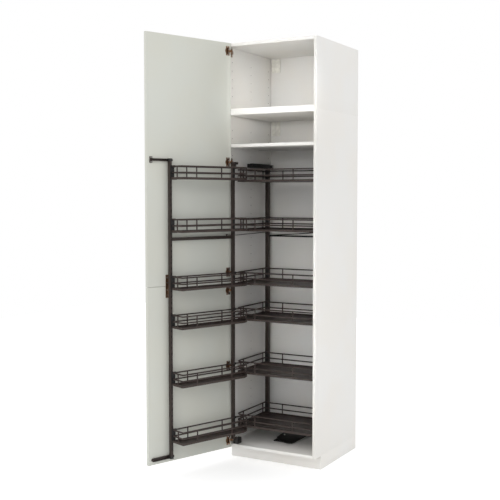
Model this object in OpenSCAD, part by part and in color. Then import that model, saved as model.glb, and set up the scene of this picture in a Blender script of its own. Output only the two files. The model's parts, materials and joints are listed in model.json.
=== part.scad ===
// Tall kitchen cabinet with a pull out larder: a frame of six trays that swings out with the door,
// and a second frame of six trays behind it that the first one draws forward.
// Millimetres, +Z up. X runs along the front of the cabinet, -Y is the front, Z = 0 is the room's floor,
// and the origin is under the middle of the cabinet. The rest pose has the door open.

/* [Cabinet] */
// Outside width of the cabinet
cabinet_w = 600; // [590:5:640]
// Outside depth of the side boards
cabinet_d = 600; // [595:5:640]
// Height of the lower carcass
lower_h = 2000; // [1990:10:2100]
// Height of the top carcass
upper_h = 400; // [300:20:600]
// Height of the plinth and legs under the carcass
plinth_h = 80; // [70:5:110]
// Thickness of the carcass boards
board_t = 18; // [16:1:19]
// Thickness of the back boards
back_t = 8; // [5:1:10]
// Empty space behind the back boards
back_void = 40; // [34:1:42]
// Distance of the fixed shelf's top face below the top of the lower carcass
shelf_drop = 189; // [150:1:210]
// How far the plinth stands back from the front edge
plinth_setback = 79; // [60:1:90]
// Thickness of the plinth boards
plinth_t = 16; // [14:1:18]

/* [Legs] */
// Radius of a leg's column
leg_r = 16; // [12:1:18]
// Distance of a leg's centre from the cabinet's side
leg_inset = 48; // [44:1:60]
// Distance of the front legs behind the plinth board
leg_behind_plinth = 30; // [24:1:40]
// Side of the square flange on top of a leg
leg_flange = 50; // [44:1:54]
// Thickness of the flange
leg_flange_t = 4; // [3:1:6]
// Radius of a foot plate
foot_r = 22; // [18:1:24]
// Thickness of a foot plate
foot_t = 6; // [4:1:8]
// Radius of a foot's stem
stem_r = 6; // [4:1:8]

/* [Door] */
// Thickness of the door
door_t = 18; // [17:1:20]
// Gap between the closed door and the cabinet's front edges
door_gap = 3; // [2.8:0.1:3.2]
// How much each vertical edge of the door stands inside the cabinet's side
door_reveal = 1.5; // [1:0.1:2]
// Height of the lower door panel
door_split = 1000; // [980:5:1010]
// Gap between the two door panels
door_seam = 2; // [1:0.5:3]
// Angle of the open door
door_open = 110; // [108:1:112]
// Width of the plate that joins the two panels
join_w = 18; // [14:1:24]
// Height of the joining plate
join_h = 130; // [100:5:160]
// Thickness of the joining plate
join_t = 2; // [1.5:0.5:3]
// Distance of the joining plate's middle from the door's outer edge
join_in = 131; // [117:1:147]

/* [Hinges] */
// Distance of the lowest hinge from the bottom of the door, and of the highest one from its top
hinge_from_end = 46; // [42:1:48]
// Distance of the middle hinges from the seam between the door panels
hinge_from_seam = 54; // [50:1:60]
// Distance of a hinge below the fixed shelf's top face
hinge_below_shelf = 106; // [90:1:120]
// Distance of the arm's pivot from the inside of the side board
arm_pivot_in = 18; // [17:0.5:19]
// Distance of the arm's pivot behind the front edge
arm_pivot_back = 17; // [16.5:0.5:18]
// Distance of the cup's pivot from the door's hinge edge
cup_pivot_edge = 10.5; // [10:0.5:11]
// Depth of the cup's pivot in the door
cup_pivot_deep = 3.2; // [3:0.1:3.4]
// How far a link turns while the door opens
link_turn = 54; // [53:1:55]
// Knee of a link, measured from the arm's pivot with the door open
link_knee = [19, -18];
// Toe of a link, measured from the arm's pivot with the door open
link_toe = [13.5, -32];
// Thickness of a link's strap
link_t = 3; // [2.6:0.2:3.4]
// Width of a link up and down
link_w = 12; // [10:1:13]
// Radius of the round ends of a link
eye_r = 3; // [2.8:0.1:3.2]
// Radius of the hinge pins
hinge_pin_r = 1.5; // [1.3:0.1:1.6]
// Distance of the cup's centre from the door's hinge edge
cup_edge = 22.5; // [22:0.5:23]
// Outer radius of a cup
cup_r = 18.5; // [18.3:0.1:18.7]
// Wall of a cup
cup_wall = 1.2; // [1:0.1:1.4]
// Depth of a cup in the door
cup_deep = 13.5; // [13:0.5:14]
// Width of the flange round a cup
flange_w = 26; // [24:1:28]
// Height of the flange round a cup
flange_h = 54; // [50:1:60]
// Thickness of the flange and of the arm's cheeks
flange_t = 1; // [0.8:0.1:1.2]
// Height of the plate on the side board
plate_h = 50; // [44:1:56]
// Thickness of the plate on the side board
plate_t = 2.4; // [2:0.2:3]

/* [Front frame] */
// How far the frame slides along the door while the door closes
frame_slide = 104; // [100:1:106]
// Width of a post along the door
post_w = 15; // [13:1:17]
// Depth of a post away from the door
post_d = 20; // [18:1:22]
// Distance of the posts from the door's inner face
post_off = 14; // [13.5:0.5:15]
// Distance from the door's hinge edge to the middle of the hinge-side post, door open
hinge_post_at = 4; // [2:1:6]
// Distance from the door's outer edge to the middle of the outer post, door open
outer_post_in = 138; // [135:1:141]
// Height of the frame's foot above the cabinet's bottom board
frame_foot = 36; // [35:1:40]
// Distance of the frame's top below the fixed shelf's top face
frame_drop = 129; // [126:1:136]
// Thickness of the cranks that carry the frame on its pivots
crank_t = 6; // [5:1:7]
// Width of the cranks
crank_w = 18; // [16:1:20]
// Height of the cross bar's lower edge, as a share of the frame's height
bar_share = 0.736; // [0.73:0.001:0.738]
// Height of the cross bar
bar_h = 18; // [14:1:20]
// Thickness of the cross bar
bar_t = 8; // [6:1:10]
// Radius of the frame's pivot pins
pivot_r = 5; // [4:0.5:6]

/* [Door tracks] */
// How far the tracks start before the middle of the outer post, door open
track_lead = 30; // [26:1:34]
// Gap between the tracks' outer ends and the side board, door closed
track_gap = 1.5; // [1.5:0.5:3]
// Height of the lower track's profile
track_h = 19; // [18:1:20]
// Height of the upper track's profile
top_track_h = 14; // [13:1:16]
// How far the tracks stand out from the door
track_out = 12; // [11:0.5:12.5]
// Wall of the tracks
track_wall = 2.5; // [2:0.25:3]
// Middle of the lower track above the cabinet's bottom board
track_z = 12; // [11:0.5:13]
// Side of the follower blocks along the door
follower_w = 19; // [17:1:21]
// Height of the follower blocks
follower_h = 16; // [14:1:18]
// Height of the T plate at the end of the upper track
tee_h = 34; // [28:1:40]
// Length of the T plate along the door
tee_w = 16; // [14:1:20]

/* [Trays] */
// Heights of the front trays' undersides above the cabinet's bottom board, in a frame of the next value's height
tray_heights = [99, 423, 748, 964, 1285, 1580];
// Height of the frame that the trays' heights are given for
tray_heights_in = 1682; // [1682:1:1682]
// How much lower the rear trays hang than the front ones
rear_drop = 7; // [5:1:9]
// Depth of a front tray
front_tray_d = 100; // [90:1:102]
// Outer end of the front trays, measured from the door's outer edge
front_tray_in = 139; // [137:1:147]
// Hinge-side end of the front trays, measured from the door's hinge edge
front_tray_start = -57; // [-58:1:-50]
// Distance between the inside of the left side board and the rear trays
rear_left_gap = 16; // [14:1:18]
// Distance between the rear trays and the inside of the right side board
rear_right_gap = 34; // [30:1:60]
// Depth of a rear tray
rear_tray_d = 370; // [350:2:376]
// Gap between the front and the rear trays with the door closed
tray_gap = 12; // [10:1:14]
// Corner radius of the trays
corner_r = 14; // [10:1:18]
// Corner radius of the rails at the front trays' outer end
tip_r = 9; // [9:0.5:12]
// Radius of the rear trays' corner beside the hinge
nose_r = 34; // [26:1:44]
// Thickness of the trays' sheet
sheet_t = 1.5; // [1.2:0.1:2]
// Height of the trays' rim
rim_h = 12; // [8:1:14]
// Height of the upper rail above a tray's underside
rail_top = 72; // [66:1:76]
// Height of the middle rail above a tray's underside
rail_mid = 37; // [32:1:42]
// Radius of the rails' wire
wire_r = 4; // [3.5:0.1:4.2]
// Radius of the upright wires
upright_r = 3.7; // [3:0.1:3.9]
// Distance between the upright wires
upright_pitch = 252; // [240:2:260]
// Width of a tray hook
hook_w = 12; // [10:1:14]
// Thickness of a tray hook
hook_t = 2; // [1.5:0.25:2.25]

/* [Rear frame] */
// Width of the rear posts
rear_post_w = 24; // [20:1:26]
// Depth of the rear posts
rear_post_d = 20; // [16:1:22]
// Distance of the rear posts' top below the front frame's top
rear_post_drop = 20; // [14:1:26]
// Height of the bottom beam
beam_h = 20; // [16:1:24]
// Thickness of the floor runner
runner_t = 6; // [5:1:7]
// Thickness of the sled under the rear frame
sled_t = 5.7; // [5:0.1:6]
// Width of the sled
sled_w = 152; // [140:2:160]
// How far the sled reaches forward of the rear posts
sled_reach = 299; // [280:1:310]
// Width of the top arm
arm_w = 18; // [16:1:20]
// Height of the top arm
arm_h = 26; // [20:1:28]
// How far the top arm reaches forward of the rear posts
arm_reach = 206; // [190:1:240]
// How far the wall runner stands out from the side board
runner_out = 20; // [18:1:20]
// Distance of the rod's front stud from the door's hinge edge, door open
rod_stud_at = 52; // [50:1:54]
// Distance of the rod's rear stud in front of the rear posts
rod_stud_fwd = 15; // [13:1:17]
// Distance of the rod's rear stud from the inside of the left side board
rod_stud_in = 35; // [34:0.5:36]
// Radius of the studs
stud_r = 3; // [2.5:0.25:3.5]
// Width of the rod
rod_w = 6; // [5:0.5:7]
// Thickness of the rod
rod_t = 4; // [3:0.5:5]
// Where the rod bends round the front frame's post: along it, from its front stud
rod_knee_along = 30; // [28:1:32]
// The same bend's distance beside the rod's straight line
rod_knee_beside = 55; // [54:1:56]

/* [Clearances] */
// Radial clearance of turning fits
pin_play = 0.05; // [0.03:0.01:0.08]
// Gap between sliding faces
slide_play = 0.3; // [0.2:0.05:0.4]
// Gap between pieces that are hung or let into each other
seat_play = 0.1; // [0.05:0.05:0.2]

/* [Hidden] */
$fn = 48;
far = 4 * cabinet_w;            // longer than any piece, for cutting tools
side_x = cabinet_w / 2;         // outside of the side boards
wall_x = side_x - board_t;      // inside of the side boards
front_y = -cabinet_d / 2;
rear_y = cabinet_d / 2;
back_y = rear_y - back_void - back_t;   // front face of the back boards
base_z = plinth_h;              // underside of the lower carcass
floor_z = base_z + board_t;     // top of the bottom board
unit_z = base_z + lower_h;      // where the two carcasses meet
top_z = unit_z + upper_h;
shelf_top = lower_h - shelf_drop;       // top of the fixed shelf above the bottom of the carcass

// Places on the plan are [x, y] pairs; angles turn anticlockwise seen from above.
function turned(p, a) = [p.x * cos(a) - p.y * sin(a), p.x * sin(a) + p.y * cos(a)];
function span(p, q) = norm([q.x - p.x, q.y - p.y]);
function heading(p, q) = atan2(q.y - p.y, q.x - p.x);

// Door: width, closed corner at the hinge edge, and the same corner with the door open
door_w = cabinet_w - 2 * door_reveal;
closed_corner = [-side_x + door_reveal, front_y - door_gap];
arm_pivot = [-wall_x + arm_pivot_in, front_y + arm_pivot_back];
cup_pivot_closed = closed_corner + [cup_pivot_edge, -cup_pivot_deep];
cup_pivot_open = arm_pivot + turned(cup_pivot_closed - arm_pivot, link_turn);
open_corner = cup_pivot_open + turned([-cup_pivot_edge, cup_pivot_deep], -door_open);

outer_post_at = door_w - outer_post_in; // places along the door, from its hinge edge
front_tray_end = door_w - front_tray_in;
join_at = door_w - join_in;

// Front frame: its pivot is the one point about which the open frame turns into the closed one
closed_frame = closed_corner + [frame_slide, 0];
frame_shift = closed_frame - open_corner;
pivot = (closed_frame + open_corner) / 2 + [-frame_shift.y, frame_shift.x] / (2 * tan(door_open / 2));
pivot_on_door = turned(pivot - open_corner, door_open);
post_mid = post_off + post_d / 2;
tray_back = post_off + post_d + hook_t + seat_play;     // the front trays' edge nearest the door
tray_front = tray_back + front_tray_d;

// Coupling rod and travel of the rear frame
rod_stud = open_corner + turned([rod_stud_at, post_mid], -door_open);
rod_stud_closed = closed_frame + [rod_stud_at, post_mid];
rear_closed_front = closed_corner.y + tray_front + tray_gap;
rear_posts_closed = rear_closed_front + rear_tray_d + hook_t + seat_play;
rear_stud_x = -wall_x + rod_stud_in;
rear_stud_closed = [rear_stud_x, rear_posts_closed - rod_stud_fwd];
rod_len = span(rod_stud_closed, rear_stud_closed);
rear_stud_y = rod_stud.y + sqrt(pow(rod_len, 2) - pow(rear_stud_x - rod_stud.x, 2));
rear_travel = rear_stud_closed.y - rear_stud_y;
rear_stud = [rear_stud_x, rear_stud_y];
rod_turn = heading(rod_stud_closed, rear_stud_closed) - heading(rod_stud, rear_stud);

// Rear frame with the door open
rear_x0 = -wall_x + rear_left_gap;
rear_x1 = wall_x - rear_right_gap;
rear_front = rear_closed_front - rear_travel;
rear_back = rear_front + rear_tray_d;
rear_posts_y = rear_posts_closed - rear_travel;         // front face of the rear posts
rear_left_x = rear_x0 + hook_t;                         // left face of the left post
rear_right_x = rear_x1 - hook_t - rear_post_w;          // left face of the right post
sled_z = floor_z + runner_t + slide_play;
beam_z = sled_z + sled_t;

// Heights
frame_top = shelf_top - frame_drop;     // above the bottom of the carcass's inside
rear_post_top = frame_top - rear_post_drop;
bar_z = round(bar_share * frame_top);
hinge_heights = [hinge_from_end - 1, door_split / 2 - 2, door_split - hinge_from_seam + 2,
    door_split + hinge_from_seam + 2, shelf_top - hinge_below_shelf, lower_h + upper_h - hinge_from_end - 1];
foot_z = floor_z + frame_foot;          // underside of the lower crank
head_z = floor_z + frame_top;           // underside of the upper crank
bar_top = floor_z + bar_z + bar_h;
rod_z = bar_top + 2;
track_mid = floor_z + track_z;
top_follower_z = head_z - 2 + follower_h / 2;
rim_in = wire_r + seat_play;            // rails' centre line inside the trays' edge
front_levels = [for (h = tray_heights) floor_z + h * frame_top / tray_heights_in];
rear_levels = [for (z = front_levels) z - rear_drop];
hinge_levels = [for (h = hinge_heights) base_z + h];

// ---------- shared shapes ----------

// A block from one corner to the opposite one
module block(lo, hi) translate(lo) cube(hi - lo);

// Places its children in the open door's frame: X along the door from the hinge edge,
// Y away from the inner face, Z up. The front frame lies in the same frame at rest.
module on_door() translate([open_corner.x, open_corner.y, 0]) rotate([0, 0, -door_open]) children();

// A flat strap on the plan between two points
module strap(p, q, w) translate(p) rotate(heading(p, q)) translate([0, -w / 2]) square([span(p, q), w]);

// A strap with round ends, a little wider than the strap
round_end = 0.25;
module round_strap(p, q, w) {
    strap(p, q, w);
    translate(p) circle(w / 2 + round_end);
    translate(q) circle(w / 2 + round_end);
}

// A rectangle with round corners
module rounded(lo, hi, r) {
    translate([lo.x + r, lo.y]) square([hi.x - lo.x - 2 * r, hi.y - lo.y]);
    translate([lo.x, lo.y + r]) square([hi.x - lo.x, hi.y - lo.y - 2 * r]);
    for (x = [lo.x + r, hi.x - r], y = [lo.y + r, hi.y - r]) translate([x, y]) circle(r);
}

// A straight rail between two points on the plan
module rail(p, q) translate([p.x, p.y, 0]) rotate([0, 0, heading(p, q)]) rotate([0, 90, 0])
    cylinder(r = wire_r, h = span(p, q), $fn = 24);

// A bent rail round a centre, from angle a over a turn
module bend(c, r, a, turn) translate([c.x, c.y, 0]) rotate([0, 0, a])
    rotate_extrude(angle = turn, $fn = 64) translate([r, 0]) circle(wire_r, $fn = 24);

// ---------- cabinet ----------

module side_board(x, z0, z1) color("white") block([x, front_y, z0], [x + board_t, rear_y, z1]);

module flat_board(z0, y1) color("white") block([-wall_x, front_y, z0], [wall_x, y1, z0 + board_t]);

module back_board(z0, z1) color("white") block([-wall_x, back_y, z0], [wall_x, back_y + back_t, z1]);

module lower_side_left() side_board(-side_x, base_z, unit_z);
module lower_side_right() side_board(wall_x, base_z, unit_z);
module lower_bottom() flat_board(base_z, rear_y);
module lower_top() flat_board(unit_z - board_t, rear_y);
module fixed_shelf() flat_board(base_z + shelf_top - board_t, back_y);
module lower_back() back_board(floor_z, unit_z - board_t);
module upper_side_left() side_board(-side_x, unit_z, top_z);
module upper_side_right() side_board(wall_x, unit_z, top_z);
module upper_bottom() flat_board(unit_z, rear_y);
module upper_top() flat_board(top_z - board_t, rear_y);
module upper_back() back_board(unit_z + board_t, top_z - board_t);

// Covers over the wall fixings, two in the top of each carcass
cover_w = 60;
cover_h = 88;
cover_t = 7;
cover_drop = 2;
cover_in = 9;
module hanger_covers() color("whitesmoke")
    for (z = [unit_z - board_t - cover_drop, top_z - board_t - cover_drop], s = [-1, 1])
        translate([s * (wall_x - cover_in - cover_w / 2) - cover_w / 2, back_y - cover_t, z - cover_h])
            cube([cover_w, cover_t, cover_h]);

module plinth_front() color("whitesmoke")
    block([-side_x, front_y + plinth_setback, 0], [side_x, front_y + plinth_setback + plinth_t, base_z]);

module plinth_returns() color("whitesmoke") for (x = [-side_x, side_x - plinth_t])
    block([x, front_y + plinth_setback + plinth_t, 0], [x + plinth_t, rear_y, base_z]);

leg_front_y = front_y + plinth_setback + plinth_t + leg_behind_plinth;
leg_places = [for (x = [-side_x + leg_inset, side_x - leg_inset], y = [leg_front_y, rear_y - leg_inset]) [x, y]];
module legs() color("dimgray") for (p = leg_places) translate([p.x, p.y, 0]) difference() {
    union() {
        translate([0, 0, foot_t + slide_play]) cylinder(r = leg_r, h = base_z - foot_t - slide_play);
        block([-leg_flange / 2, -leg_flange / 2, base_z - leg_flange_t], [leg_flange / 2, leg_flange / 2, base_z]);
    }
    cylinder(r = stem_r + pin_play, h = base_z - 2 * leg_flange_t);
}
module leg_feet() color("gray") for (p = leg_places) translate([p.x, p.y, 0]) {
    cylinder(r = foot_r, h = foot_t);
    cylinder(r = stem_r, h = base_z - 3 * leg_flange_t);
}

// ---------- door ----------

module cup_hole(z) translate([cup_edge, seat_play - cup_deep - 2 * seat_play, z]) rotate([-90, 0, 0])
    cylinder(r = cup_r + seat_play, h = far);

module door_panel(z0, z1) color("lightgray") on_door() difference() {
    block([0, -door_t, z0], [door_w, 0, z1]);
    for (z = hinge_levels) if (z > z0 && z < z1) cup_hole(z);
}
module door_lower() door_panel(base_z, base_z + door_split - door_seam / 2);
module door_upper() door_panel(base_z + door_split + door_seam / 2, top_z);

join_z = base_z + door_split;
screw_r = 2;
screw_head_r = 4;
screw_head_t = 1.6;
join_screws = [for (k = [-0.38, -0.16, 0.16, 0.38]) join_z + k * join_h];
module joining_plate() color("saddlebrown") on_door() difference() {
    block([join_at - join_w / 2, 0, join_z - join_h / 2], [join_at + join_w / 2, join_t, join_z + join_h / 2]);
    for (z = join_screws) translate([join_at, -1, z]) rotate([-90, 0, 0]) cylinder(r = screw_r + seat_play, h = far);
}
module joining_screws() color("silver") on_door() for (z = join_screws) translate([join_at, 0, z]) rotate([-90, 0, 0]) {
    cylinder(r = screw_r, h = join_t + seat_play / 2);
    translate([0, 0, join_t]) cylinder(r = screw_head_r, h = screw_head_t);
}

// ---------- concealed hinges ----------

cup_in_r = cup_r - cup_wall;
// A pin across the cup, its ends let into the cup's wall
module cup_pin(z) intersection() {
    translate([cup_pivot_edge, -cup_pivot_deep, z - cup_r]) cylinder(r = hinge_pin_r, h = 2 * cup_r, $fn = 32);
    translate([cup_edge, -cup_deep, z]) rotate([-90, 0, 0]) cylinder(r = cup_r - cup_wall / 3, h = cup_deep);
}
module hinge_cups() color("sienna") on_door() for (z = hinge_levels) difference() {
    union() {
        translate([cup_edge, -cup_deep, z]) rotate([-90, 0, 0]) cylinder(r = cup_r, h = cup_deep);
        block([cup_edge - flange_w / 2, 0, z - flange_h / 2], [cup_edge + flange_w / 2, flange_t, z + flange_h / 2]);
    }
    translate([cup_edge, flange_t - cup_deep, z]) rotate([-90, 0, 0]) cylinder(r = cup_in_r, h = far);
    cup_pin(z);
}
module hinge_cup_pins() color("silver") on_door() for (z = hinge_levels) cup_pin(z);

module hinge_links() color("silver") for (z = hinge_levels) translate([0, 0, z - link_w / 2]) linear_extrude(link_w)
    difference() {
        union() {
            strap(arm_pivot, arm_pivot + link_knee, link_t);
            strap(arm_pivot + link_knee, arm_pivot + link_toe, link_t);
            strap(arm_pivot + link_toe, cup_pivot_open, link_t);
            for (p = [arm_pivot + link_knee, arm_pivot + link_toe]) translate(p) circle(link_t / 2 + round_end);
            for (p = [arm_pivot, cup_pivot_open]) translate(p) circle(eye_r);
        }
        for (p = [arm_pivot, cup_pivot_open]) translate(p) circle(hinge_pin_r + pin_play, $fn = 32);
    }

// The arm is a channel: two cheeks that hold the pin, and a web on the plate
cheek_t = 2;
arm_half = link_w / 2 + slide_play + cheek_t;
arm_root = [-wall_x + plate_t, arm_pivot.y + 20];
arm_len = 22;
web_t = 6;
module arm_cheek() difference() {
    union() {
        round_strap(arm_pivot, arm_root + [web_t - eye_r, 0], 2 * eye_r + 2);
        translate([arm_root.x, arm_root.y - eye_r]) square([web_t, arm_len + eye_r]);
    }
    translate([-far - wall_x + plate_t, arm_root.y - far / 2]) square([far, far]);
    translate(arm_pivot) circle(hinge_pin_r, $fn = 32);
}
module hinge_arms() color("sienna") for (z = hinge_levels) {
    for (s = [-arm_half, arm_half - cheek_t]) translate([0, 0, z + s]) linear_extrude(cheek_t) arm_cheek();
    block([arm_root.x, arm_root.y + eye_r, z - arm_half], [arm_root.x + web_t, arm_root.y + arm_len, z + arm_half]);
}
module hinge_arm_pins() color("silver") for (z = hinge_levels)
    translate([arm_pivot.x, arm_pivot.y, z - arm_half]) cylinder(r = hinge_pin_r, h = 2 * arm_half, $fn = 32);
module hinge_plates() color("silver") for (z = hinge_levels)
    block([-wall_x, arm_root.y - 12, z - plate_h / 2], [-wall_x + plate_t, arm_root.y + arm_len, z + plate_h / 2]);

// ---------- tracks on the door ----------

follower_r = track_h / 2 - track_wall - slide_play;
top_follower_r = top_track_h / 2 - track_wall - slide_play;
track_x0 = outer_post_at - track_lead;
track_x1 = wall_x - closed_corner.x - track_gap;        // the closed door lies over the side board's edge
slot_x0 = outer_post_at;
slot_x1 = outer_post_at + frame_slide;
module stadium(x0, x1, r) {
    translate([x0, -r]) square([x1 - x0, 2 * r]);
    for (x = [x0, x1]) translate([x, 0]) circle(r);
}
module upright_plate(y0, y1) translate([0, y1, 0]) rotate([90, 0, 0]) linear_extrude(y1 - y0) children();
module lower_track() color("dimgray") on_door() translate([0, 0, track_mid]) difference() {
    upright_plate(0, track_out) stadium(track_x0 + track_h / 2, track_x1 - track_h / 2, track_h / 2);
    upright_plate(track_wall, far) stadium(slot_x0, slot_x1, follower_r + slide_play);
}
module upper_track() color("dimgray") on_door() translate([0, 0, top_follower_z]) difference() {
    union() {
        upright_plate(0, track_out) stadium(track_x0 + top_track_h / 2, track_x1 - tee_w, top_track_h / 2);
        block([track_x1 - tee_w, 0, -tee_h / 2], [track_x1, track_out / 2, tee_h / 2]);
    }
    upright_plate(track_wall, far) stadium(slot_x0, slot_x1, top_follower_r + slide_play);
}

// ---------- front frame ----------

module front_post(at, z0, z1) color("dimgray") on_door()
    block([at - post_w / 2, post_off, z0], [at + post_w / 2, post_off + post_d, z1]);
lower_follower_z = track_mid + follower_h / 2;
module front_post_outer() front_post(outer_post_at, lower_follower_z, top_follower_z - follower_h / 2);
module front_post_hinge() front_post(hinge_post_at, foot_z + crank_t, head_z);

module front_crossbar() color("dimgray") on_door() {
    block([hinge_post_at + post_w / 2, post_mid - bar_t / 2, bar_top - bar_h],
        [outer_post_at - post_w / 2, post_mid + bar_t / 2, bar_top]);
    translate([rod_stud_at, post_mid, bar_top]) cylinder(r = stud_r, h = rod_z - slide_play - bar_top);
}

module crank(z) color("dimgray") translate([0, 0, z]) on_door() linear_extrude(crank_t) difference() {
    round_strap([hinge_post_at, post_mid], pivot_on_door, crank_w);
    translate(pivot_on_door) circle(pivot_r + pin_play);
}
module foot_crank() crank(foot_z);
module head_crank() crank(head_z);

module follower(z, r) on_door() translate([0, 0, z]) {
    block([outer_post_at - follower_w / 2, post_off, -follower_h / 2],
        [outer_post_at + follower_w / 2, post_off + post_d, follower_h / 2]);
    translate([outer_post_at, track_wall + slide_play, 0]) rotate([-90, 0, 0])
        cylinder(r = r, h = post_off - track_wall - slide_play);
}
module track_followers() color("black") {
    follower(track_mid, follower_r);
    follower(top_follower_z, top_follower_r);
}

// ---------- pivots on the cabinet ----------

block_w = 30;
block_d = 46;
module floor_pivot_block() color("black") difference() {
    block([pivot.x - block_w + crank_w / 2, pivot.y - crank_w / 2 + 1, floor_z],
        [pivot.x + crank_w / 2, pivot.y - crank_w / 2 + 1 + block_d, foot_z - slide_play]);
    translate([pivot.x, pivot.y, floor_z]) cylinder(r = pivot_r, h = far);
}
bracket_y = arm_root.y + arm_len + 4;
bracket_d = 34;
bracket_t = 5;
module wall_pivot_bracket() color("dimgray") translate([0, 0, head_z - slide_play - crank_t]) {
    linear_extrude(crank_t) difference() {
        round_strap([-wall_x + bracket_t + crank_w / 2, bracket_y + bracket_d / 2], pivot, crank_w);
        translate(pivot) circle(pivot_r);
    }
    block([-wall_x, bracket_y, -crank_t * 2], [-wall_x + bracket_t + 1, bracket_y + bracket_d, crank_t]);
}
pin_head = 4;
module pivot_pins() color("gray") translate([pivot.x, pivot.y, 0]) {
    translate([0, 0, floor_z]) cylinder(r = pivot_r, h = foot_z + crank_t + slide_play - floor_z);
    translate([0, 0, head_z - slide_play - crank_t]) cylinder(r = pivot_r, h = 2 * crank_t + 2 * slide_play);
    for (z = [foot_z, head_z]) translate([0, 0, z + crank_t + slide_play]) cylinder(r = pivot_r + 2, h = pin_head);
}

// ---------- trays ----------

// Uprights of the rails at one place on the plan
module upright(p) translate([p.x, p.y, sheet_t]) cylinder(r = upright_r, h = rail_top - sheet_t, $fn = 20);

// A front tray: square at its outer end, a quarter round at its hinge end, drawn in by a margin
end_r = front_tray_d - corner_r;
end_c = [front_tray_start + end_r, tray_back + corner_r];
module front_shape(m) {
    translate([end_c.x, tray_back + m]) square([front_tray_end - m - end_c.x, front_tray_d - 2 * m]);
    translate([front_tray_start + m, tray_back + m]) square([end_r, corner_r - m]);
    intersection() {
        translate(end_c) circle(end_r - m, $fn = 96);
        translate([front_tray_start - 1, end_c.y]) square([end_r + 1, end_r + 1]);
    }
}
module front_rails() {
    b = corner_r - rim_in;
    t = tip_r - rim_in;
    y0 = tray_back + rim_in;
    y1 = tray_front - rim_in;
    x0 = front_tray_start + rim_in;
    x1 = front_tray_end - rim_in;
    rail([x0 + b, y0], [x1 - t, y0]);
    bend([x1 - t, y0 + t], t, -90, 90);
    rail([x1, y0 + t], [x1, y1 - t]);
    bend([x1 - t, y1 - t], t, 0, 90);
    rail([end_c.x, y1], [x1 - t, y1]);
    bend(end_c, end_r - rim_in, 90, 90);
    bend([x0 + b, end_c.y], b, 180, 90);
}
front_uprights = [for (k = [0, 1], y = [tray_back + rim_in, tray_front - rim_in])
    [front_tray_end - 104 - k * upright_pitch, y]];
module front_tray(k) color("dimgray") translate([0, 0, front_levels[k]]) on_door() {
    linear_extrude(sheet_t) front_shape(0);
    linear_extrude(rim_h) difference() { front_shape(0); front_shape(sheet_t); }
    for (z = [rail_mid, rail_top]) translate([0, 0, z]) front_rails();
    for (p = front_uprights) upright(p);
    upright([front_tray_end - rim_in, (tray_back + tray_front) / 2]);
    upright(end_c + (end_r - rim_in) * [cos(135), sin(135)]);
    upright([front_tray_start + corner_r, tray_back + rim_in]);
}
module front_tray_1() front_tray(0);
module front_tray_2() front_tray(1);
module front_tray_3() front_tray(2);
module front_tray_4() front_tray(3);
module front_tray_5() front_tray(4);
module front_tray_6() front_tray(5);

// A rear tray: a rectangle with round corners, the one beside the hinge rounder
module rear_shape(m) {
    n = nose_r - m;
    x0 = rear_x0 + m;
    y0 = rear_front + m;
    difference() {
        rounded([x0, y0], [rear_x1 - m, rear_back - m], corner_r - m);
        translate([x0 - 1, y0 - 1]) square([n + 1, n + 1]);
    }
    intersection() {
        translate([x0 + n, y0 + n]) circle(n);
        translate([x0, y0]) square([n, n]);
    }
}
module rear_rails() {
    b = corner_r - rim_in;
    n = nose_r - rim_in;
    x0 = rear_x0 + rim_in;
    x1 = rear_x1 - rim_in;
    y0 = rear_front + rim_in;
    y1 = rear_back - rim_in;
    rail([x0 + b, y1], [x1 - b, y1]);
    bend([x1 - b, y1 - b], b, 0, 90);
    rail([x1, y0 + b], [x1, y1 - b]);
    bend([x1 - b, y0 + b], b, -90, 90);
    rail([x0 + n, y0], [x1 - b, y0]);
    bend([x0 + n, y0 + n], n, 180, 90);
    rail([x0, y0 + n], [x0, y1 - b]);
    bend([x0 + b, y1 - b], b, 90, 90);
}
rear_mid_x = (rear_x0 + rear_x1) / 2;
rear_uprights = concat(
    [for (s = [-0.5, 0.5], y = [rear_front + rim_in, rear_back - rim_in]) [rear_mid_x + s * upright_pitch, y]],
    [for (k = [0, 1], x = [rear_x0 + rim_in, rear_x1 - rim_in]) [x, rear_back - 32 - k * upright_pitch]]);
module rear_tray(k) color("dimgray") translate([0, 0, rear_levels[k]]) {
    linear_extrude(sheet_t) rear_shape(0);
    linear_extrude(rim_h) difference() { rear_shape(0); rear_shape(sheet_t); }
    for (z = [rail_mid, rail_top]) translate([0, 0, z]) rear_rails();
    for (p = rear_uprights) upright(p);
}
module rear_tray_1() rear_tray(0);
module rear_tray_2() rear_tray(1);
module rear_tray_3() rear_tray(2);
module rear_tray_4() rear_tray(3);
module rear_tray_5() rear_tray(4);
module rear_tray_6() rear_tray(5);

// A hook on a post's face: a strip, a ledge under the tray and a loop round the upper rail.
// The strip runs from s0 to s1 along X, the ledge and the loop from x0 over the hook's width.
// Y = 0 is the post's face and Z = 0 the tray's underside.
ledge = 24;
module hook(x0, s0, s1) difference() {
    union() {
        block([s0, 0, -hook_t - seat_play], [s1, hook_t, rail_top + wire_r + hook_t]);
        block([x0, 0, -hook_t - seat_play], [x0 + hook_w, hook_t + ledge, -seat_play]);
        block([x0, 0, rail_top - wire_r - hook_t],
            [x0 + hook_w, hook_t + seat_play + 2 * wire_r + hook_t, rail_top + wire_r + hook_t]);
    }
    translate([s0 - hook_w, hook_t + seat_play + rim_in, rail_top]) rotate([0, 90, 0])
        cylinder(r = wire_r + seat_play, h = s1 - s0 + 2 * hook_w, $fn = 24);
}
hook_end = 0.5;                 // a hook's distance from the nearest bend of a rail
module front_hooks() color("black") on_door() for (z = front_levels) translate([0, post_off + post_d, z]) {
    hook(hinge_post_at - hook_w / 2, hinge_post_at - hook_w / 2, hinge_post_at + hook_w / 2);
    hook(front_tray_end - tip_r - hook_end - hook_w, front_tray_end - tip_r - hook_end - hook_w,
        outer_post_at + post_w / 4);
}
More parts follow.
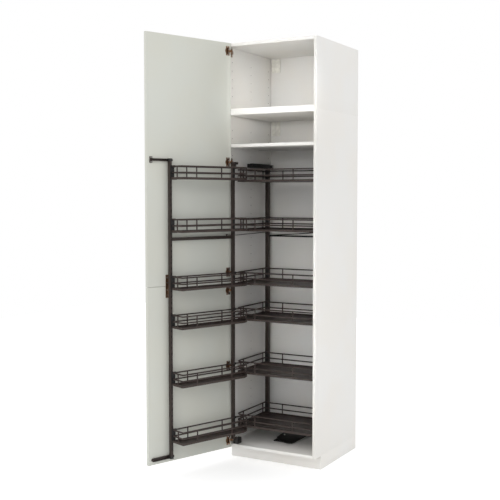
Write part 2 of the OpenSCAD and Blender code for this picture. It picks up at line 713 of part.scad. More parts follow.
module rear_hooks() color("black") for (z = rear_levels) translate([0, rear_posts_y, z]) mirror([0, 1, 0]) {
    hook(rear_x0 + corner_r + hook_end, rear_left_x, rear_x0 + corner_r + hook_end + hook_w);
    hook(rear_x1 - corner_r - hook_end - hook_w, rear_x1 - corner_r - hook_end - hook_w,
        rear_right_x + rear_post_w);
}

// ---------- rear frame ----------

module rear_post(x) color("black")
    block([x, rear_posts_y, beam_z], [x + rear_post_w, rear_posts_y + rear_post_d, floor_z + rear_post_top]);
lug_t = 6;
module rear_post_left() {
    rear_post(rear_left_x);
    color("black") block([rear_stud.x - rod_w, rear_stud.y - rod_w, rod_z - slide_play - lug_t],
        [rear_stud.x + rod_w, rear_posts_y, rod_z - slide_play]);
    color("black") translate([rear_stud.x, rear_stud.y, rod_z - slide_play]) cylinder(r = stud_r, h = rod_t + 3);
}
module rear_post_right() rear_post(rear_right_x);

rear_bar_z = bar_top - bar_h - 6;
brace_r = 3;
brace_rise = 34;
module between_posts() block([rear_left_x + rear_post_w, -far, 0], [rear_right_x, far, top_z]);
module rear_crossbar() color("black") intersection() {
    union() {
        block([rear_left_x, rear_posts_y + 6, rear_bar_z], [rear_right_x + rear_post_w, rear_posts_y + 14, rear_bar_z + 9]);
        translate([rear_left_x + rear_post_w - 1, rear_posts_y + 10, rear_bar_z + 6])
            rotate([0, 90 - atan2(brace_rise, rear_right_x - rear_left_x), 0]) cylinder(r = brace_r, h = far, $fn = 24);
    }
    between_posts();
}
module rear_beam() color("black") block([rear_left_x + rear_post_w, rear_posts_y, beam_z],
    [rear_right_x, rear_posts_y + rear_post_d, beam_z + beam_h]);

// The sled's nose is cut back on the hinge side
sled_front = rear_posts_y - sled_reach;
sled_side = 160;        // where its hinge side starts, behind the nose
sled_flank = 86;        // where its slanted flank starts
sled_flank_in = 10;
sled_tip = 18;          // the flank's end beside the nose
sled_tip_x = 6;
nose_w = 32;            // the nose's distance from the other side, and the corners there
nose_cut = 14;
nose_side = 22;
key_w = 20;
key_h = 2.5;
key_back = 40;          // the key's distance behind the nose
module rear_sled() color("black") {
    translate([0, 0, sled_z]) linear_extrude(sled_t) polygon([
        [-sled_w / 2, rear_posts_y + rear_post_d], [sled_w / 2, rear_posts_y + rear_post_d],
        [sled_w / 2, sled_front + nose_side], [sled_w / 2 - nose_cut, sled_front + 4], [sled_w / 2 - nose_w, sled_front],
        [-sled_tip_x, sled_front + sled_tip], [-sled_w / 2 + sled_flank_in, sled_front + sled_flank],
        [-sled_w / 2, sled_front + sled_side]]);
    block([-key_w / 2, sled_front + key_back, sled_z - slide_play - key_h], [key_w / 2, rear_posts_y, sled_z + 1]);
}
module floor_runner() color("gray") difference() {
    block([-sled_w * 0.4, sled_front + 30, floor_z], [sled_w * 0.4, back_y - 2, floor_z + runner_t]);
    block([-key_w / 2 - slide_play, -far, floor_z + runner_t - key_h - slide_play],
        [key_w / 2 + slide_play, far, floor_z + runner_t + 1]);
}

// The top arm runs on a channel along the left side board
top_arm_z = floor_z + rear_post_top;
tongue_h = 9.4;
tongue_in = 8;
module rear_top_arm() color("black") {
    block([rear_left_x + rear_post_w - arm_w, rear_posts_y - arm_reach, top_arm_z],
        [rear_left_x + rear_post_w, rear_posts_y + rear_post_d, top_arm_z + arm_h]);
    block([-wall_x + runner_out - tongue_in, rear_posts_y - arm_reach + 4, top_arm_z + (arm_h - tongue_h) / 2],
        [rear_left_x + rear_post_w - arm_w + 1, rear_posts_y + rear_post_d, top_arm_z + (arm_h + tongue_h) / 2]);
}
module wall_runner() color("gray") difference() {
    block([-wall_x, rear_posts_y - arm_reach + 4, top_arm_z + 2], [-wall_x + runner_out, back_y - 2, top_arm_z + arm_h - 2]);
    block([-wall_x + runner_out - tongue_in - slide_play, -far, top_arm_z + (arm_h - tongue_h) / 2 - slide_play],
        [far, far, top_arm_z + (arm_h + tongue_h) / 2 + slide_play]);
}

// ---------- coupling rod ----------

// Pinned to the rear frame; its front eye lies just above the front frame's stud
rod_bend = rod_stud + turned([rod_knee_along, -rod_knee_beside], heading(rod_stud, rear_stud));
module coupling_rod() color("dimgray") translate([0, 0, rod_z]) {
    linear_extrude(rod_t) difference() {
        union() {
            strap(rod_stud, rod_bend, rod_w);
            strap(rod_bend, rear_stud, rod_w);
            translate(rod_bend) circle(rod_w / 2 + round_end);
            for (p = [rod_stud, rear_stud]) translate(p) circle(rod_w);
        }
        translate(rear_stud) circle(stud_r + pin_play);
    }
    translate([rod_stud.x, rod_stud.y, rod_t]) cylinder(r = rod_w - 1, h = 3);
}

lower_side_left();
lower_side_right();
lower_bottom();
lower_top();
fixed_shelf();
lower_back();
upper_side_left();
upper_side_right();
upper_bottom();
upper_top();
upper_back();
hanger_covers();
plinth_front();
plinth_returns();
legs();
leg_feet();
hinge_plates();
hinge_arms();
hinge_arm_pins();
hinge_links();
door_lower();
door_upper();
joining_plate();
joining_screws();
hinge_cups();
hinge_cup_pins();
lower_track();
upper_track();
floor_pivot_block();
wall_pivot_bracket();
pivot_pins();
floor_runner();
wall_runner();
front_post_outer();
front_post_hinge();
front_crossbar();
foot_crank();
head_crank();
track_followers();
front_hooks();
front_tray_1();
front_tray_2();
front_tray_3();
front_tray_4();
front_tray_5();
front_tray_6();
rear_post_left();
rear_post_right();
rear_crossbar();
rear_beam();
rear_sled();
rear_top_arm();
rear_hooks();
rear_tray_1();
rear_tray_2();
rear_tray_3();
rear_tray_4();
rear_tray_5();
rear_tray_6();
coupling_rod();
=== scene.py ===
# %% [markdown]
# A tall kitchen cabinet with a pull out larder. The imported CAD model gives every
# piece its size and place. This lesson dresses those pieces: softened edges, drilled
# boards, wire trays, small fittings, and a finish for each material.

import json
import math

import bmesh
import bpy
import numpy as np
from mathutils import Matrix, Vector


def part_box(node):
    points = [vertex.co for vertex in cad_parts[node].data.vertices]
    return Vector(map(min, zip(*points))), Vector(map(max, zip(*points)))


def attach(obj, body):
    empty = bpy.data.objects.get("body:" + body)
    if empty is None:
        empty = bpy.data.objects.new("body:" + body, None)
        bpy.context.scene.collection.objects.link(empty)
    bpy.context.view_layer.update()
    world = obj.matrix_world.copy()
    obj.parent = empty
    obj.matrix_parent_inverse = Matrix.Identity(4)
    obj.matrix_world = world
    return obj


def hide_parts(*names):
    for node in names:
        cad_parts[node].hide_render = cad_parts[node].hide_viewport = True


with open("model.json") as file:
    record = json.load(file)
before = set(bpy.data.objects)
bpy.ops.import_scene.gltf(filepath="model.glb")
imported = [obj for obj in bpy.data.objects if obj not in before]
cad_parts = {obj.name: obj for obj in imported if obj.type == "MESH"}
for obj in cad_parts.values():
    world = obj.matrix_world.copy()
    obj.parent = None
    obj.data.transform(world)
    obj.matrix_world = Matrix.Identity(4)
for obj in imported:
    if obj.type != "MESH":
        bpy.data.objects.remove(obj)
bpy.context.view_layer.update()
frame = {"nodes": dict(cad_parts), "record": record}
nodes = frame["nodes"]
MM = 0.001

# %% [markdown]
# Shader sums are easier to read as Python. A Wire is one output socket of a node, and
# adding or multiplying two Wires adds the Math node that does it.


# %% Wires
class Wire:
    def __init__(self, finish, socket):
        self.finish, self.socket = finish, socket

    def maths(self, operation, *values):
        inputs = dict(enumerate(values))
        return self.finish.node("ShaderNodeMath", {"operation": operation}, inputs)

    def __add__(self, other):
        return self.maths("ADD", self, other)

    def __radd__(self, other):
        return self.maths("ADD", other, self)

    def __mul__(self, other):
        return self.maths("MULTIPLY", self, other)

    def __rmul__(self, other):
        return self.maths("MULTIPLY", other, self)

    def clipped(self):
        return self.maths("MINIMUM", self.maths("MAXIMUM", self, 0.0), 1.0)


# %% [markdown]
# A Finish is one material. Its node method adds any node: the settings come first, then
# the values or links of its sockets. The helpers under it are the few looks that all
# the finishes share: noise in metres, a ramp, a mix of two colours, and a bump.


# %% Finishes
class Finish:
    def __init__(self, name, metallic=0.0, rough=0.5, **fixed):
        self.material = bpy.data.materials.new(name)
        self.material.use_nodes = True
        self.tree = self.material.node_tree
        self.shader = next(n for n in self.tree.nodes if n.type == "BSDF_PRINCIPLED")
        self.shader.inputs["Metallic"].default_value = metallic
        self.shader.inputs["Roughness"].default_value = rough
        for socket, value in fixed.items():
            self.shader.inputs[socket.replace("_", " ")].default_value = value

    def node(self, kind, settings=None, inputs=None, out=0):
        node = self.tree.nodes.new(kind)
        for key, value in (settings or {}).items():
            setattr(node, key, value)
        for key, value in (inputs or {}).items():
            self.plug(node.inputs[key], value)
        return Wire(self, node.outputs[out])

    def plug(self, socket, value):
        if isinstance(value, Wire):
            self.tree.links.new(value.socket, socket)
        else:
            socket.default_value = value

    def feed(self, socket, value):
        self.plug(self.shader.inputs[socket], value)

    def where(self, stretch=(1, 1, 1)):
        place = self.node("ShaderNodeTexCoord", out="Object")
        if stretch == (1, 1, 1):
            return place
        return self.node("ShaderNodeVectorMath", {"operation": "MULTIPLY"}, {0: place, 1: stretch})

    def noise(self, size, detail=2.0, rough=0.5, stretch=(1, 1, 1)):
        inputs = {"Vector": self.where(stretch), "Scale": 1 / size}
        inputs |= {"Detail": detail, "Roughness": rough}
        return self.node("ShaderNodeTexNoise", {}, inputs)

    def ramp(self, value, low, high):
        inputs = {"Value": value, "From Min": low, "From Max": high}
        return self.node("ShaderNodeMapRange", {"interpolation_type": "SMOOTHSTEP"}, inputs)

    def blend(self, mask, first, second):
        first, second = ((*c, 1) if isinstance(c, tuple) else c for c in (first, second))
        inputs = {0: mask, 6: first, 7: second}
        return self.node("ShaderNodeMix", {"data_type": "RGBA"}, inputs, out=2)

    def bump(self, height, depth):
        inputs = {"Height": height, "Distance": depth, "Strength": 1.0}
        self.feed("Normal", self.node("ShaderNodeBump", {}, inputs))


def shade(r, g, b):
    """A colour as it shows on screen, turned into the linear numbers that nodes take."""
    return tuple((v / 255) ** 2.2 for v in (r, g, b))


# %% [markdown]
# The boards are chipboard faced with white melamine. The paper is printed and pressed
# against a steel sheet, which leaves a fine pebbled skin: a bump of about a millimetre
# across, a slow drift of tone, and a gloss that varies a little.


# %% Faced boards
def faced_board(name, colour, rough, pebble=0.9 * MM, depth=0.016 * MM):
    f = Finish(name, rough=rough, Specular_IOR_Level=0.45)
    drift = f.noise(0.35, 3.0)
    specks = f.noise(2.2 * MM, 2.0, 0.6)
    darker = tuple(v * 0.955 for v in colour)
    warm = tuple(v * k for v, k in zip(colour, (1.0, 0.985, 0.965)))
    speckled = f.blend(f.ramp(specks, 0.62, 0.8) * 0.6, colour, darker)
    f.feed("Base Color", f.blend(f.ramp(drift, 0.35, 0.65), speckled, warm))
    f.feed("Roughness", (rough - 0.05) + f.noise(0.02, 4.0, 0.6) * 0.1)
    f.bump(f.noise(pebble, 2.0, 0.55) * 0.7 + f.noise(9 * MM, 1.0) * 0.3, depth)
    return f.material


white_board = faced_board("white_melamine", shade(241, 240, 237), 0.42)
edge_band = faced_board("white_edge_band", shade(234, 233, 229), 0.5, 0.5 * MM, 0.008 * MM)
back_sheet = faced_board("white_back_sheet", shade(238, 237, 234), 0.5, 1.4 * MM)
door_face = faced_board("pale_green_foil", shade(209, 211, 203), 0.46, 0.7 * MM, 0.012 * MM)
print("faced boards:", [m.name for m in (white_board, edge_band, back_sheet, door_face)])

# %% [markdown]
# Frames, trays and rails are steel with a warm anthracite powder coat. The powder melts
# into a fine orange-peel skin, and it thins to a lighter brown where it is rubbed.


# %% Coated and plated metals
def coated_steel(name, colour, rubbed, rough=0.42):
    f = Finish(name, metallic=0.1, rough=rough, Specular_IOR_Level=0.3)
    cloud = f.noise(0.05, 4.0, 0.6)
    grain = f.noise(0.7 * MM, 3.0, 0.6)
    rub = f.ramp(f.noise(0.012, 5.0, 0.65), 0.58, 0.74)
    base = f.blend(f.ramp(cloud, 0.3, 0.7), colour, tuple(v * 1.35 for v in colour))
    f.feed("Base Color", f.blend(rub * 0.5, base, rubbed))
    f.feed("Roughness", (rough - 0.06) + grain * 0.14 + rub * -0.06)
    f.bump(grain * 0.6 + f.noise(2.4 * MM, 2.0) * 0.4, 0.03 * MM)
    return f.material


def plated(name, colour, rough, along=(1, 1, 1)):
    f = Finish(name, metallic=1.0, rough=rough)
    lines = f.noise(0.9 * MM, 3.0, 0.6, along)
    tarnish = f.ramp(f.noise(0.006, 4.0, 0.6), 0.45, 0.7)
    f.feed("Base Color", f.blend(tarnish * 0.5, colour, tuple(v * 0.72 for v in colour)))
    f.feed("Roughness", (rough - 0.06) + lines * 0.16 + tarnish * 0.06)
    f.bump(lines, 0.006 * MM)
    return f.material


anthracite = coated_steel("anthracite_coat", shade(55, 48, 45), shade(88, 77, 71), 0.45)
tray_coat = coated_steel("tray_coat", shade(60, 52, 49), shade(94, 83, 77), 0.42)
runner_coat = coated_steel("runner_coat", shade(24, 23, 22), shade(46, 43, 41), 0.45)
bronze = plated("bronze_plate", shade(138, 109, 86), 0.34)
bright = plated("bright_zinc", shade(205, 204, 200), 0.24, (0.3, 0.3, 2.0))


# %% [markdown]
# Small mouldings are black or white plastic: spark-eroded tools leave a matt grain. On the real
# parts the edges that hands and metal touch are a little shinier; here the gloss only varies at
# random over the surface.


# %% Moulded plastics
def moulded(name, colour, rough, grain=0.5 * MM):
    f = Finish(name, rough=rough, Specular_IOR_Level=0.5)
    patch = f.noise(0.02, 3.0, 0.55)
    lighter = tuple(v * 1.18 + 0.001 for v in colour)
    f.feed("Base Color", f.blend(f.ramp(patch, 0.35, 0.7), colour, lighter))
    f.feed("Roughness", (rough - 0.07) + f.noise(4 * MM, 4.0, 0.6) * 0.15)
    f.bump(f.noise(grain, 2.0, 0.6), 0.02 * MM)
    return f.material


black_plastic = moulded("black_moulding", shade(30, 29, 28), 0.46)
white_plastic = moulded("white_moulding", shade(232, 230, 222), 0.5, 0.3 * MM)
leg_plastic = moulded("leg_moulding", shade(42, 42, 42), 0.5)
# Hole walls and floors: chipboard brown, darkened far below its own tone as painted shade inside
# the holes.
pocket_shade = moulded("chipboard_pocket_painted_shade", shade(62, 56, 48), 0.9, 0.8 * MM)

# %% [markdown]
# Real edges are never knife sharp. A CAD node can't be changed, so each one is copied,
# its flat triangles are joined into whole faces, and its sharp edges are bevelled by a
# fraction of a millimetre. The copy takes the node's place and rides on its body.

# %% Softened copies
SMOOTH_BELOW, SHARP_ABOVE = math.radians(32), math.radians(30)
bodies = frame["record"]["behaviour"]["bodies"]
body_of = {member: body for body, members in bodies.items() for member in members}


def add_piece(name, mesh, node, *materials):
    piece = bpy.data.objects.new(name, mesh)
    bpy.context.scene.collection.objects.link(piece)
    for material in materials:
        mesh.materials.append(material)
    mesh.shade_smooth()
    mesh.set_sharp_from_angle(angle=SMOOTH_BELOW)
    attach(piece, body_of[node])
    return piece


def edges_above(bm, angle):
    return [e for e in bm.edges if len(e.link_faces) == 2 and e.calc_face_angle(0) > angle]


def softened(node, material, width):
    bm = bmesh.new()
    bm.from_mesh(nodes[node].data)
    bmesh.ops.remove_doubles(bm, verts=bm.verts, dist=0.004 * MM)
    bmesh.ops.dissolve_limit(bm, angle_limit=math.radians(0.4), verts=bm.verts, edges=bm.edges)
    if width:
        bmesh.ops.bevel(
            bm, geom=edges_above(bm, SHARP_ABOVE), offset=width, segments=2, profile=0.6,
            affect="EDGES", clamp_overlap=True, harden_normals=False,
        )
    mesh = bpy.data.meshes.new(node + "_soft")
    bm.to_mesh(mesh)
    bm.free()
    piece = add_piece(node + "_soft", mesh, node, material)
    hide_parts(node)


# %% [markdown]
# Each plain piece has its material and the width of its softened edge in millimetres.
# The trays keep their CAD edges, because their wires are too thin to show a bevel.

# %% Boards, door and frames
SOFT = {
    "lower_bottom": (white_board, 0.4), "lower_top": (white_board, 1.0),
    "fixed_shelf": (white_board, 0.4), "upper_bottom": (white_board, 1.0),
    "upper_top": (white_board, 0.4), "lower_back": (back_sheet, 0.3),
    "upper_back": (back_sheet, 0.3), "plinth_front": (white_board, 0.5),
    "plinth_returns": (white_board, 0.5), "hanger_covers": (white_plastic, 1.2),
    "legs": (leg_plastic, 0.8), "leg_feet": (leg_plastic, 0.8), "door_lower": (door_face, 0.8),
    "door_upper": (door_face, 0.8), "joining_plate": (bronze, 0.3),
    "joining_screws": (bright, 0.3), "hinge_cups": (bronze, 0.25),
    "hinge_links": (bronze, 0.25), "hinge_arms": (bronze, 0.25),
    "hinge_plates": (bronze, 0.4), "hinge_arm_pins": (bright, 0.15),
    "hinge_cup_pins": (bright, 0.15), "lower_track": (anthracite, 0.4),
    "upper_track": (anthracite, 0.4), "floor_pivot_block": (black_plastic, 1.0),
    "wall_pivot_bracket": (anthracite, 0.5), "pivot_pins": (bright, 0.5),
    "floor_runner": (runner_coat, 0.4), "wall_runner": (runner_coat, 0.5),
    "front_crossbar": (anthracite, 0.8), "foot_crank": (anthracite, 0.8),
    "head_crank": (anthracite, 0.8), "track_followers": (black_plastic, 0.8),
    "front_hooks": (black_plastic, 0.3), "rear_post_left": (anthracite, 1.4),
    "rear_post_right": (anthracite, 1.4), "rear_crossbar": (runner_coat, 0.4),
    "rear_beam": (anthracite, 1.0), "rear_sled": (runner_coat, 0.6),
    "rear_top_arm": (runner_coat, 0.8), "rear_hooks": (black_plastic, 0.3),
    "coupling_rod": (anthracite, 0.5),
}
for node, (material, width) in SOFT.items():
    softened(node, material, width * MM)
for k in range(1, 7):
    for side in ("front", "rear"):
        softened(f"{side}_tray_{k}", tray_coat, 0)
print("softened:", len(SOFT))

# %% [markdown]
# The side boards are drilled in three columns for shelf pins, 50 mm apart. A boolean cut
# for two hundred small holes is slow and leaves poor faces. Here the inner face is laid
# out as a grid of cells, and each cell with a hole gets a ring, a wall and a floor.


# %% A block with drilled cells
AROUND = 16  # corners of a hole, four for each side of its cell


def drilled(
    node, place, across, along, thick, columns, rows, hole, cell, depth, materials, soft=0.4 * MM
):
    """The face lies at W = 0 of place, with U across it and V along it.

    A hole is (radius, half of a slot's straight part), and a cell is half its own size.
    """
    (u0, u1), (v0, v1), (radius, straight) = across, along, hole
    bm = bmesh.new()
    grid = {}

    def vert(p):
        key = tuple(round(c, 7) for c in p)
        if key not in grid:
            grid[key] = bm.verts.new(p)
        return grid[key]

    def face(points, slot=0):
        bm.faces.new([vert(p) for p in points]).material_index = slot

    def near(value, places):
        return any(abs(value - p) < 0.1 * MM for p in places)

    us = sorted({u0, u1, *(u + s * cell[0] for u in columns for s in (-1, 1))})
    vs = sorted({v0, v1, *(v + s * cell[1] for v in rows for s in (-1, 1))})
    turns = [(i + 0.5) * math.tau / AROUND for i in range(AROUND)]
    ring = [(math.cos(t), math.sin(t)) for t in turns]
    for a, b in zip(us, us[1:]):
        for c, d in zip(vs, vs[1:]):
            mu, mv = (a + b) / 2, (c + d) / 2
            if near(mu, columns) and near(mv, rows):
                lip = [
                    (mu + radius * x, mv + radius * y + math.copysign(straight, y), 0)
                    for x, y in ring
                ]
                out = [(b, d, 0), (a, d, 0), (a, c, 0), (b, c, 0)]
                deep = [(u, v, -depth) for u, v, _ in lip]
                for q in range(4):
                    side = (lip[(4 * q + k) % AROUND] for k in (1, 0, -1, -2))
                    face([out[q - 1], out[q], *side])
                    face([out[q], lip[4 * q + 2], lip[4 * q + 1]])
                for k in range(AROUND):
                    n = (k + 1) % AROUND
                    face([lip[k], lip[n], deep[n], deep[k]], 2)
                face(deep, 2)
            else:
                face([(a, c, 0), (b, c, 0), (b, d, 0), (a, d, 0)])
            face([(a, c, -thick), (b, c, -thick), (b, d, -thick), (a, d, -thick)])
    for a, b in zip(us, us[1:]):
        for v in (v0, v1):
            face([(a, v, 0), (b, v, 0), (b, v, -thick), (a, v, -thick)], 1)
    for c, d in zip(vs, vs[1:]):
        for u in (u0, u1):
            face([(u, c, 0), (u, d, 0), (u, d, -thick), (u, c, -thick)], 1)
    bmesh.ops.remove_doubles(bm, verts=bm.verts, dist=0.001 * MM)
    bmesh.ops.recalc_face_normals(bm, faces=bm.faces)

    def on_rim(v):
        return min(abs(v.co.x - u0), abs(v.co.x - u1), abs(v.co.y - v0), abs(v.co.y - v1)) < 1e-6

    rim = [e for e in edges_above(bm, 1.0) if all(on_rim(v) for v in e.verts)]
    bmesh.ops.bevel(bm, geom=rim, offset=soft, segments=2, profile=0.6, affect="EDGES")
    bmesh.ops.transform(bm, matrix=place, verts=bm.verts)
    bmesh.ops.recalc_face_normals(bm, faces=bm.faces)
    mesh = bpy.data.meshes.new(node + "_drilled")
    bm.to_mesh(mesh)
    bm.free()
    piece = add_piece(node + "_drilled", mesh, node, *materials)
    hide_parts(node)
    return len(mesh.polygons)


# %% [markdown]
# The picture shows the first column 62 mm behind the front edge and rows 50 mm apart.
# The lower boards leave out the row that the fixed shelf would cover.

# %% Drilled side boards
PIN_HOLE, PIN_CELL, PIN_DEPTH = 2.5 * MM, 4 * MM, 11 * MM
PIN_PITCH, LOWER_FIRST, UPPER_FIRST, COVERED = 50, 228, 2178, (1865, 1900)
front_edge, rear_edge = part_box("lower_side_left")[0][1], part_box("lower_side_left")[1][1]
shelf_columns = [front_edge + v * MM for v in (62, 290, 518)]
lower_rows = [LOWER_FIRST + PIN_PITCH * i for i in range(36)]
lower_rows = [z * MM for z in lower_rows if not COVERED[0] < z < COVERED[1]]
upper_rows = [(UPPER_FIRST + PIN_PITCH * i) * MM for i in range(5)]
for side, inner in (("left", 1), ("right", -1)):
    for tier, rows in (("lower", lower_rows), ("upper", upper_rows)):
        board = f"{tier}_side_{side}"
        low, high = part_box(board)
        skin = high[0] if inner > 0 else low[0]
        place = Matrix(((0, 0, inner, skin), (1, 0, 0, 0), (0, 1, 0, 0), (0, 0, 0, 1)))
        outline = ((front_edge, rear_edge), (low[2], high[2]), high[0] - low[0])
        holes = (shelf_columns, rows, (PIN_HOLE, 0), (PIN_CELL, PIN_CELL), PIN_DEPTH)
        # The third look, pocket_shade, colours the hole walls and floors dark as painted shade.
        count = drilled(board, place, *outline, *holes, (white_board, edge_band, pocket_shade))
        print(tier, side, "faces:", count)

# %% [markdown]
# The front frame lies along the open door, which stands at 110 degrees. A matrix takes
# a place on the door (along it, away from it, up) to the room, so its parts can be
# written down as if the door were the page.

# %% Slotted posts
DOOR_CORNER, DOOR_SWING = (-0.252739, -0.307281, 0), 110  # the hinge edge of the open door
on_door = Matrix.Translation(DOOR_CORNER) @ Matrix.Rotation(math.radians(-DOOR_SWING), 4, "Z")

POST_FACE = 34 * MM  # the posts' inner face, away from the door
POST_HALF, POST_THICK, POST_SLOT_DEPTH = 7.5 * MM, 20 * MM, 9 * MM
PLAIN_TOP = 30 * MM  # no slot closer to a post's top than this


def slotted_post(node, at, pitch, hole, first):
    low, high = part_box(node)
    face = on_door @ Matrix(((1, 0, 0, at), (0, 0, 1, POST_FACE), (0, 1, 0, 0), (0, 0, 0, 1)))
    rows = []
    z = low[2] + first
    while z < high[2] - PLAIN_TOP:
        rows.append(z)
        z += pitch
    outline = ((-POST_HALF, POST_HALF), (low[2], high[2]), POST_THICK)
    cell = (4.4 * MM, hole[0] + hole[1] + 2 * MM)
    # The slot walls and floors take the near-black runner coat instead of the post's anthracite,
    # as painted shade in the slots.
    looks = (anthracite, anthracite, runner_coat)
    return drilled(node, face, *outline, [0.0], rows, hole, cell, POST_SLOT_DEPTH, looks, 1.0 * MM)


outer_faces = slotted_post("front_post_outer", 459 * MM, 32 * MM, (2.4 * MM, 4 * MM), 40 * MM)
hinge_faces = slotted_post("front_post_hinge", 4 * MM, 64 * MM, (2.2 * MM, 0), 52 * MM)
print("post faces:", outer_faces, hinge_faces)

# %% [markdown]
# Screws hold the hinges, runners and pivots. One pan head with a cross recess is turned
# as a lathe profile, and the cross is cut by filling the top between two outlines.


# %% Screw heads
SIDES = 20


def screw_head(bm, place, radius, height):
    profile = [(1.0, 0.0), (1.0, 0.25), (0.93, 0.6), (0.8, 0.85), (0.64, 1.0)]
    loops = []
    turns = [i * math.tau / SIDES for i in range(SIDES)]
    for r, z in profile:
        circle = [(r * radius * math.cos(t), r * radius * math.sin(t), z * height) for t in turns]
        loops.append([bm.verts.new(p) for p in circle])
    for low, high in zip(loops, loops[1:]):
        for i in range(SIDES):
            n = (i + 1) % SIDES
            bm.faces.new((low[i], low[n], high[n], high[i]))
    bm.faces.new(loops[0][::-1])
    arm, half = 0.5 * radius, 0.11 * radius
    quarter, outline = [(arm, -half), (arm, half), (half, half)], []
    for _ in range(4):
        outline += quarter
        quarter = [(-y, x) for x, y in quarter]
    top = [bm.verts.new((x, y, height)) for x, y in outline]
    deep = [bm.verts.new((x * 0.8, y * 0.8, height * 0.35)) for x, y in outline]
    rim = [bm.edges.new((top[i], top[i - 1])) for i in range(len(top))]
    ring = [bm.edges.get((loops[-1][i], loops[-1][i - 1])) for i in range(SIDES)]
    bmesh.ops.triangle_fill(bm, use_beauty=True, use_dissolve=False, edges=rim + ring)
    for face in [f for f in bm.faces if all(v in top for v in f.verts)]:
        bm.faces.remove(face)
    for i in range(len(top)):
        bm.faces.new((top[i - 1], top[i], deep[i], deep[i - 1]))
    bm.faces.new(deep)
    made = [v for loop in loops for v in loop] + top + deep
    bmesh.ops.transform(bm, matrix=place, verts=made)


def facing(point, normal):
    turn = Vector(normal).to_track_quat("Z", "Y").to_matrix().to_4x4()
    return Matrix.Translation(point) @ turn


def screws(name, node, spots, radius, height):
    bm = bmesh.new()
    for place in spots:
        screw_head(bm, place, radius, height)
    bmesh.ops.recalc_face_normals(bm, faces=bm.faces)
    mesh = bpy.data.meshes.new(name)
    bm.to_mesh(mesh)
    bm.free()
    piece = add_piece(name, mesh, node, bright)


OFF_DOOR, OFF_WALL, UP = (0, 1, 0), (1, 0, 0), (0, 0, 1)  # the first one on the door
HINGE_HEIGHTS = [v * MM for v in (125, 578, 1028, 1136, 1785, 2433)]
WALL, PLATE, ARM_RISE = -282 * MM, 2.4 * MM, 6 * MM  # the board's face, and what is on it
pairs = [(z, s) for z in HINGE_HEIGHTS for s in (-1, 1)]
cup_spots = [
    on_door @ facing((22.5 * MM, 1.0 * MM, z + s * 22.6 * MM), OFF_DOOR) for z, s in pairs
]
plate_spots = [facing((WALL + PLATE, -258 * MM, z + s * 18 * MM), OFF_WALL) for z, s in pairs]
arm_spots = [facing((WALL + PLATE + ARM_RISE, -251 * MM, z), OFF_WALL) for z in HINGE_HEIGHTS]
bracket_spots = [facing((-276 * MM, y * MM, 1767.5 * MM), OFF_WALL) for y in (-230, -210)]
block_spots = [facing((x * MM, -253 * MM, 133.7 * MM), UP) for x in (-240, -223)]
track_spots = [
    on_door @ facing((571 * MM, 6 * MM, (1786 + s * 11.5) * MM), OFF_DOOR) for s in (-1, 1)
]
bolt_spots = [facing((-46 * MM, -5.5 * MM, 110 * MM), UP)]

# Each row is the node that the screws sit on, their places, head radius and head height
SCREWS = {
    "cup_screws": ("hinge_cups", cup_spots, 3.2, 1.4),
    "plate_screws": ("hinge_plates", plate_spots, 3.6, 1.6),
    "arm_screws": ("hinge_arms", arm_spots, 3.0, 1.5),
    "bracket_screws": ("wall_pivot_bracket", bracket_spots, 3.6, 1.6),
    "block_screws": ("floor_pivot_block", block_spots, 3.6, 1.6),
    "track_screws": ("upper_track", track_spots, 3.2, 1.5),
    "sled_bolt": ("rear_sled", bolt_spots, 6, 4),
}
for name, (node, spots, radius, height) in SCREWS.items():
    screws(name, node, spots, radius * MM, height * MM)
print("screws placed")

# %% [markdown]
# The picture's studio is bright and nearly shadowless. Most light comes evenly from the
# world, which the camera sees as pure white. One large lamp at the front gives the
# boards their tones, and weak narrow beams reach the top compartments and the larder.
# The floor glows a little for the camera, so it is white with a faint shadow on it.

# %% Floor and light
floor_mesh = bpy.data.meshes.new("studio_floor")
floor_mesh.from_pydata([(-6, -7, 0), (7, -7, 0), (7, 6, 0), (-6, 6, 0)], [], [(0, 1, 2, 3)])
floor = bpy.data.objects.new("studio_floor", floor_mesh)
bpy.context.scene.collection.objects.link(floor)
paper = Finish("studio_paper", rough=0.9, Specular_IOR_Level=0.1, Emission_Strength=1.0)
RAYS = ("Is Camera Ray", "Is Glossy Ray", "Is Transmission Ray")
GLOW, AMBIENT = 0.45, 0.92
rays = [paper.node("ShaderNodeLightPath", out=out) for out in RAYS]
seen = (rays[0] + rays[1] + rays[2]).clipped()
mottle = paper.noise(0.5, 2.0) * 0.5
paper.feed("Base Color", paper.blend(mottle, (0.8, 0.8, 0.8), (0.78, 0.78, 0.78)))
paper.feed("Emission Color", paper.blend(seen, (0.0, 0.0, 0.0), (GLOW, GLOW, GLOW)))
floor_mesh.materials.append(paper.material)

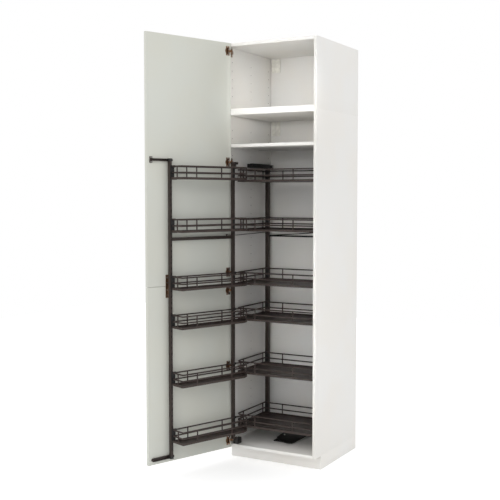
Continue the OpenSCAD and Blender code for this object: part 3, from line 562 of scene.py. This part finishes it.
world = bpy.data.worlds.new("studio")
bpy.context.scene.world = world
world.use_nodes = True
sky = world.node_tree
path = sky.nodes.new("ShaderNodeLightPath")
total = None
for out in RAYS:
    step = sky.nodes.new("ShaderNodeMath")
    step.operation, step.use_clamp = "ADD", True
    sky.links.new(path.outputs[out], step.inputs[0])
    if total:
        sky.links.new(total, step.inputs[1])
    else:
        step.inputs[1].default_value = 0.0
    total = step.outputs[0]
shown = sky.nodes.new("ShaderNodeMix")
shown.data_type = "RGBA"
shown.inputs[6].default_value = (AMBIENT, AMBIENT, AMBIENT, 1)
shown.inputs[7].default_value = (1, 1, 1, 1)
sky.links.new(total, shown.inputs[0])
sky.links.new(shown.outputs[2], sky.nodes["Background"].inputs["Color"])


def lamp(name, place, target, size, watts, spread):
    data = bpy.data.lights.new(name, "AREA")
    data.shape, data.size, data.size_y = "RECTANGLE", size[0], size[1]
    data.energy, data.spread = watts, math.radians(spread)
    light = bpy.data.objects.new(name, data)
    light.location = place
    light.rotation_euler = (Vector(target) - Vector(place)).to_track_quat("-Z", "Y").to_euler()
    bpy.context.scene.collection.objects.link(light)


# Each row is the lamp's place, what it aims at, its size, its watts and its spread
LAMPS = {
    "front_bank": ((0.6, -4.6, 2.6), (0, 0, 1.3), (3.0, 2.0), 29, 180),
    "shelf_lamp": ((0.15, -4.4, 2.27), (0.02, 0, 2.21), (0.5, 0.16), 0.26, 14),
    "wall_beam": ((3.0, -2.9, 2.2), (-0.28, -0.05, 2.17), (0.1, 0.2), 0.16, 9),
    "larder_fill": ((1.35, -3.6, 0.95), (0, 0, 0.95), (0.3, 1.1), 0.38, 12),
    "low_close": ((0.3, -2.4, 0.7), (0.05, -0.1, 0.1), (1.6, 0.4), 0.6, 50),
}
for name, setting in LAMPS.items():
    lamp(name, *setting)

# %% [markdown]
# The camera stands where the picture's corners say it stood, about 5.5 m away and a
# little above the middle of the unit.

# %% Camera
SENSOR = 36  # millimetres
FOCAL, PHOTO_WIDTH = 897.41, 500  # both in pixels
TILT_DOWN, TURN_LEFT = 3.385, 29.257  # degrees
camera_data = bpy.data.cameras.new("camera")
camera_data.sensor_width = SENSOR
camera_data.lens = SENSOR * FOCAL / PHOTO_WIDTH
camera = bpy.data.objects.new("camera", camera_data)
camera.location = (2.44541, -4.89183, 1.58079)
camera.rotation_euler = (math.radians(90 - TILT_DOWN), 0, math.radians(TURN_LEFT))
bpy.context.scene.collection.objects.link(camera)
bpy.context.scene.camera = camera
bpy.context.scene.view_settings.view_transform = "Standard"
